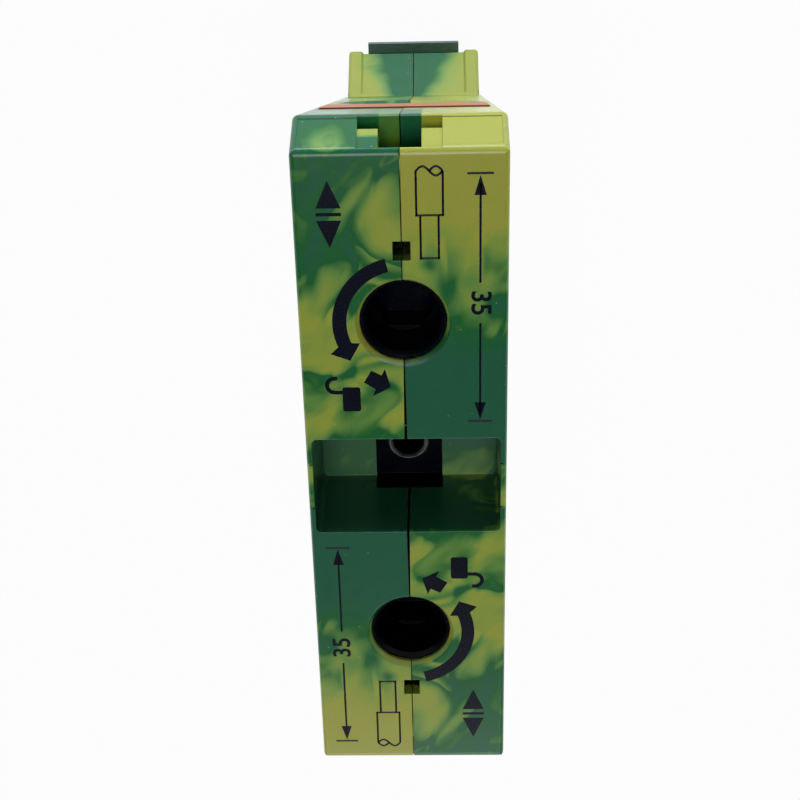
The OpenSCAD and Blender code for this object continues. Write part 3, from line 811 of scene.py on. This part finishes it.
class BLOCK_OT_print_turn_marks(bpy.types.Operator):
    """Prints the curved arrows round the key holes and the short arrows beside them"""

    bl_idname = "block.print_turn_marks"
    bl_label = "Print the turn marks"

    def execute(self, context):
        look = context.scene.print_look
        low, high = ink_levels(look)
        inner, outer = look.ring_inner / MM, look.ring_outer / MM
        key_y = 22.55
        tail, outer_neck, inner_neck, steps = 103.7, 201.5, 202.5, 40
        head = [(-8.8, 18.54), (-6.46, 17.65), (-5.23, 19.95)]
        band = arc(0, key_y, outer, tail, outer_neck, steps) + head
        band += arc(0, key_y, inner, inner_neck, tail, steps)
        print_mark("turn_arrows", solid_shapes("turn_arrow", [band], low, high), look)
        short = [
            (-4.01, 16.27),
            (-4.95, 14.67),
            (-3.51, 13.74),
            (-3.91, 12.83),
            (-1.68, 14.01),
            (-2.36, 16.47),
            (-2.76, 15.61),
        ]
        print_mark("latch_arrows", solid_shapes("latch_arrow", [short], low, high), look)
        return {"FINISHED"}


class BLOCK_OT_print_wire_marks(bpy.types.Operator):
    """Prints the picture of a stripped wire and the measure of its bare end"""

    bl_idname = "block.print_wire_marks"
    bl_label = "Print the wire marks"

    def execute(self, context):
        look = context.scene.print_look
        low, high = ink_levels(look)
        half = look.line_width / MM / 2
        left, right, top, step, foot = 1.8, 4.86, 41.35, 36.05, 30.75
        bare_left, bare_right = 2.24, 4.34
        middle = (left + right) / 2
        swell = 0.55
        wave = []
        for i in range(25):
            t = i / 24
            wave.append((left + (right - left) * t, top + swell * math.sin(2 * math.pi * t)))
        loop = []
        for i in range(13):
            t = i / 12
            loop.append((middle + (right - middle) * t, top + swell * math.sin(math.pi * t)))
        lines = [
            [(left, step - half), (left, top)],
            [(right, step - half), (right, top)],
            [(left - half, step), (right + half, step)],
            [(bare_left, step), (bare_left, foot - half)],
            [(bare_right, step), (bare_right, foot - half)],
            [(bare_left - half, foot), (bare_right + half, foot)],
            wave,
            loop,
        ]
        print_mark("wire_pictures", paths("wire_picture", lines, FACE_Z), look, True)

        run, first, last = 9.15, 41.0, 9.2
        gap_low, number_y, gap_high = 22.4, 25, 27.6
        inset, tick = 1.2, 1.5
        rules = [
            [(run, first - inset), (run, gap_high)],
            [(run, gap_low), (run, last + inset)],
            [(run - tick, first), (run + tick, first)],
            [(run - tick, last), (run + tick, last)],
        ]
        print_mark("strip_rules", paths("strip_rule", rules, FACE_Z), look, True)
        tip, barb, wing = 0.2, 2.6, 0.7
        heads = [
            [(run, first - tip), (run - wing, first - barb), (run + wing, first - barb)],
            [(run, last + tip), (run + wing, last + barb), (run - wing, last + barb)],
        ]
        print_mark("strip_heads", solid_shapes("strip_head", heads, low, high), look)

        text = bpy.data.curves.new("strip_number", "FONT")
        text.body = "35"
        text.size = look.number_size
        text.align_x = "CENTER"
        text.align_y = "CENTER"
        text.offset = 0.06 * MM
        text.extrude = look.ink_height / 2
        draft = piece_from("strip_number_draft", text)
        graph = bpy.context.evaluated_depsgraph_get()
        mesh = bpy.data.meshes.new_from_object(draft.evaluated_get(graph), depsgraph=graph)
        bpy.data.objects.remove(draft)
        work = bmesh.new()
        work.from_mesh(mesh)
        bmesh.ops.remove_doubles(work, verts=work.verts, dist=FINE_WELD)
        bmesh.ops.recalc_face_normals(work, faces=work.faces)
        work.to_mesh(mesh)
        work.free()
        turn = Matrix.Rotation(-math.pi / 2, 4, "Z")
        mesh.transform(Matrix.Translation((run * MM, number_y * MM, FACE_Z)) @ turn)
        print_mark("strip_numbers", mesh, look)
        return {"FINISHED"}


class BLOCK_OT_print_symbols(bpy.types.Operator):
    """Prints the open sign and the open padlock beside the curved arrows"""

    bl_idname = "block.print_symbols"
    bl_label = "Print the signs"

    def execute(self, context):
        look = context.scene.print_look
        low, high = ink_levels(look)
        sign = [
            [(0.75, -1.45), (4.1, 0), (0.75, 1.45)],
            [(-0.75, 1.45), (-4.1, 0), (-0.75, -1.45)],
            [(-0.2, -1.45), (0.2, -1.45), (0.2, 1.45), (-0.2, 1.45)],
        ]
        shapes = [beside(points, -8.3, 36.3) for points in sign]
        print_mark("open_signs", solid_shapes("open_sign", shapes, low, high), look)

        corner = 0.3
        corners = ((1.35, -1.5, 270), (1.35, 0.1, 0), (-1.35, 0.1, 90), (-1.35, -1.5, 180))
        body = []
        for x, y, start in corners:
            body += arc(x, y, corner, start, start + 90, 4)
        bow_x, bow_y, bow_outer, bow_inner = 1.9, 1.3, 1.2, 0.7
        bow = [(0.7, 0.4)] + arc(bow_x, bow_y, bow_outer, 180, 0, 14) + [(3.1, 0.95), (2.6, 0.95)]
        bow += arc(bow_x, bow_y, bow_inner, 0, 180, 14) + [(1.2, 0.4)]
        shapes = [beside(points, -7.2, 12.4) for points in (body, bow)]
        print_mark("padlocks", solid_shapes("padlock", shapes, low, high), look)
        return {"FINISHED"}


class BLOCK_OT_set_stage(bpy.types.Operator):
    """Sets up the floor, the soft light and the camera"""

    bl_idname = "block.set_stage"
    bl_label = "Set the stage"

    def seen(self, tree):
        """1 for what the camera, a reflection or a clear piece sees directly."""
        ray = add(tree, "ShaderNodeLightPath").outputs
        both = number(tree, "MAXIMUM", ray["Is Camera Ray"], ray["Is Glossy Ray"])
        return number(tree, "MAXIMUM", both, ray["Is Transmission Ray"])

    def lamp(self, name, watts):
        """Soft lamp that faces the block."""
        place, width, length, shade = LAMPS[name]
        light = bpy.data.lights.new(name, "AREA")
        light.shape = "RECTANGLE"
        light.size, light.size_y, light.energy = width, length, watts
        light.color = shade
        lamp = bpy.data.objects.new(name, light)
        bpy.context.scene.collection.objects.link(lamp)
        lamp.location = place
        facing = Vector(LAMP_AIM) - Vector(place)
        lamp.rotation_euler = facing.to_track_quat("-Z", "Y").to_euler()

    def execute(self, context):
        scene = context.scene
        look = scene.stage_look

        mesh, work = drawing("floor")
        bmesh.ops.create_grid(work, x_segments=1, y_segments=1, size=3)
        bmesh.ops.translate(work, verts=work.verts, vec=(0, 0, FLOOR_Z))
        work.to_mesh(mesh)
        work.free()
        floor = piece_from("floor", mesh)
        paper, tree, skin, scaled = new_finish("white_paper")
        fibre = noise(tree, scaled.outputs[0], scale=0.2, detail=3).outputs[0]
        white = ramp(tree, fibre, [(0.3, (0.86,) * 3), (0.7, (0.88,) * 3)])
        tree.links.new(white, skin.inputs["Base Color"])
        skin.inputs["Roughness"].default_value = 0.9
        skin.inputs["Specular IOR Level"].default_value = 0.0
        glow = add(tree, "ShaderNodeEmission", {"Color": (1, 1, 1, 1), "Strength": 1.0})
        part = number(tree, "MULTIPLY", self.seen(tree), look.floor_white)
        mixed = add(tree, "ShaderNodeMixShader", {0: part, 1: skin.outputs[0], 2: glow.outputs[0]})
        out = [n for n in tree.nodes if n.bl_idname == "ShaderNodeOutputMaterial"][0]
        tree.links.new(mixed.outputs[0], out.inputs[0])
        mesh.materials.append(paper)

        world = bpy.data.worlds.new("studio")
        scene.world = world
        world.use_nodes = True
        tree = world.node_tree
        tree.nodes.clear()
        way = add(tree, "ShaderNodeTexCoord").outputs["Generated"]
        height = add(tree, "ShaderNodeSeparateXYZ", {0: way}).outputs[2]
        dome = remap(tree, height, 0.02, 0.5, 1.0, look.sky, True)
        level = number(tree, "MULTIPLY", dome, remap(tree, self.seen(tree), 0, 1, look.dome, 1))
        sky = add(tree, "ShaderNodeBackground", {"Color": (1, 1, 1, 1), "Strength": level})
        out = tree.nodes.new("ShaderNodeOutputWorld")
        tree.links.new(sky.outputs[0], out.inputs[0])

        self.lamp("key_light", look.key_watts)
        self.lamp("front_light", look.front_watts)
        self.lamp("side_light", look.side_watts)

        lens = bpy.data.cameras.new("camera")
        lens.lens = look.lens
        lens.sensor_width = 36
        lens.clip_start = 0.01
        camera = bpy.data.objects.new("camera", lens)
        scene.collection.objects.link(camera)
        right = Vector((0.99953985, -0.02293162, -0.01985532))
        up = Vector((0.01114434, 0.88642282, -0.46274226))
        back = Vector((0.02821164, 0.46230805, 0.88627048))
        turn = Matrix((right, up, back)).transposed().to_4x4()
        camera.matrix_world = Matrix.Translation(look.eye) @ turn
        scene.camera = camera
        scene.view_settings.view_transform = "Standard"
        return {"FINISHED"}


class BLOCK_PT_sidebar(bpy.types.Panel):
    """Steps and values of the terminal block"""

    bl_idname = "BLOCK_PT_sidebar"
    bl_label = "Terminal block"
    bl_space_type = "VIEW_3D"
    bl_region_type = "UI"
    bl_category = "Terminal block"

    def draw(self, context):
        for step in STEPS:
            self.layout.operator(step.bl_idname)
        for name in LOOKS:
            group = getattr(context.scene, name)
            for key in group.__annotations__:
                self.layout.prop(group, key)


LOOKS = {
    "shell_look": ShellLook,
    "print_look": PrintLook,
    "part_look": PartLook,
    "stage_look": StageLook,
}
STEPS = (
    BLOCK_OT_finish_shells,
    BLOCK_OT_finish_black_parts,
    BLOCK_OT_finish_lock_latches,
    BLOCK_OT_finish_metal,
    BLOCK_OT_make_springs,
    BLOCK_OT_print_turn_marks,
    BLOCK_OT_print_wire_marks,
    BLOCK_OT_print_symbols,
    BLOCK_OT_set_stage,
)


def register():
    for kind in (*LOOKS.values(), *STEPS, BLOCK_PT_sidebar):
        bpy.utils.register_class(kind)
    for name, kind in LOOKS.items():
        setattr(bpy.types.Scene, name, PointerProperty(type=kind))


def unregister():
    for name in LOOKS:
        delattr(bpy.types.Scene, name)
    for kind in (BLOCK_PT_sidebar, *reversed(STEPS), *LOOKS.values()):
        bpy.utils.unregister_class(kind)


def main():
    register()
    bpy.ops.block.finish_shells()
    bpy.ops.block.finish_black_parts()
    bpy.ops.block.finish_lock_latches()
    bpy.ops.block.finish_metal()
    bpy.ops.block.make_springs()
    bpy.ops.block.print_turn_marks()
    bpy.ops.block.print_wire_marks()
    bpy.ops.block.print_symbols()
    bpy.ops.block.set_stage()


if __name__ == "__main__":
    main()
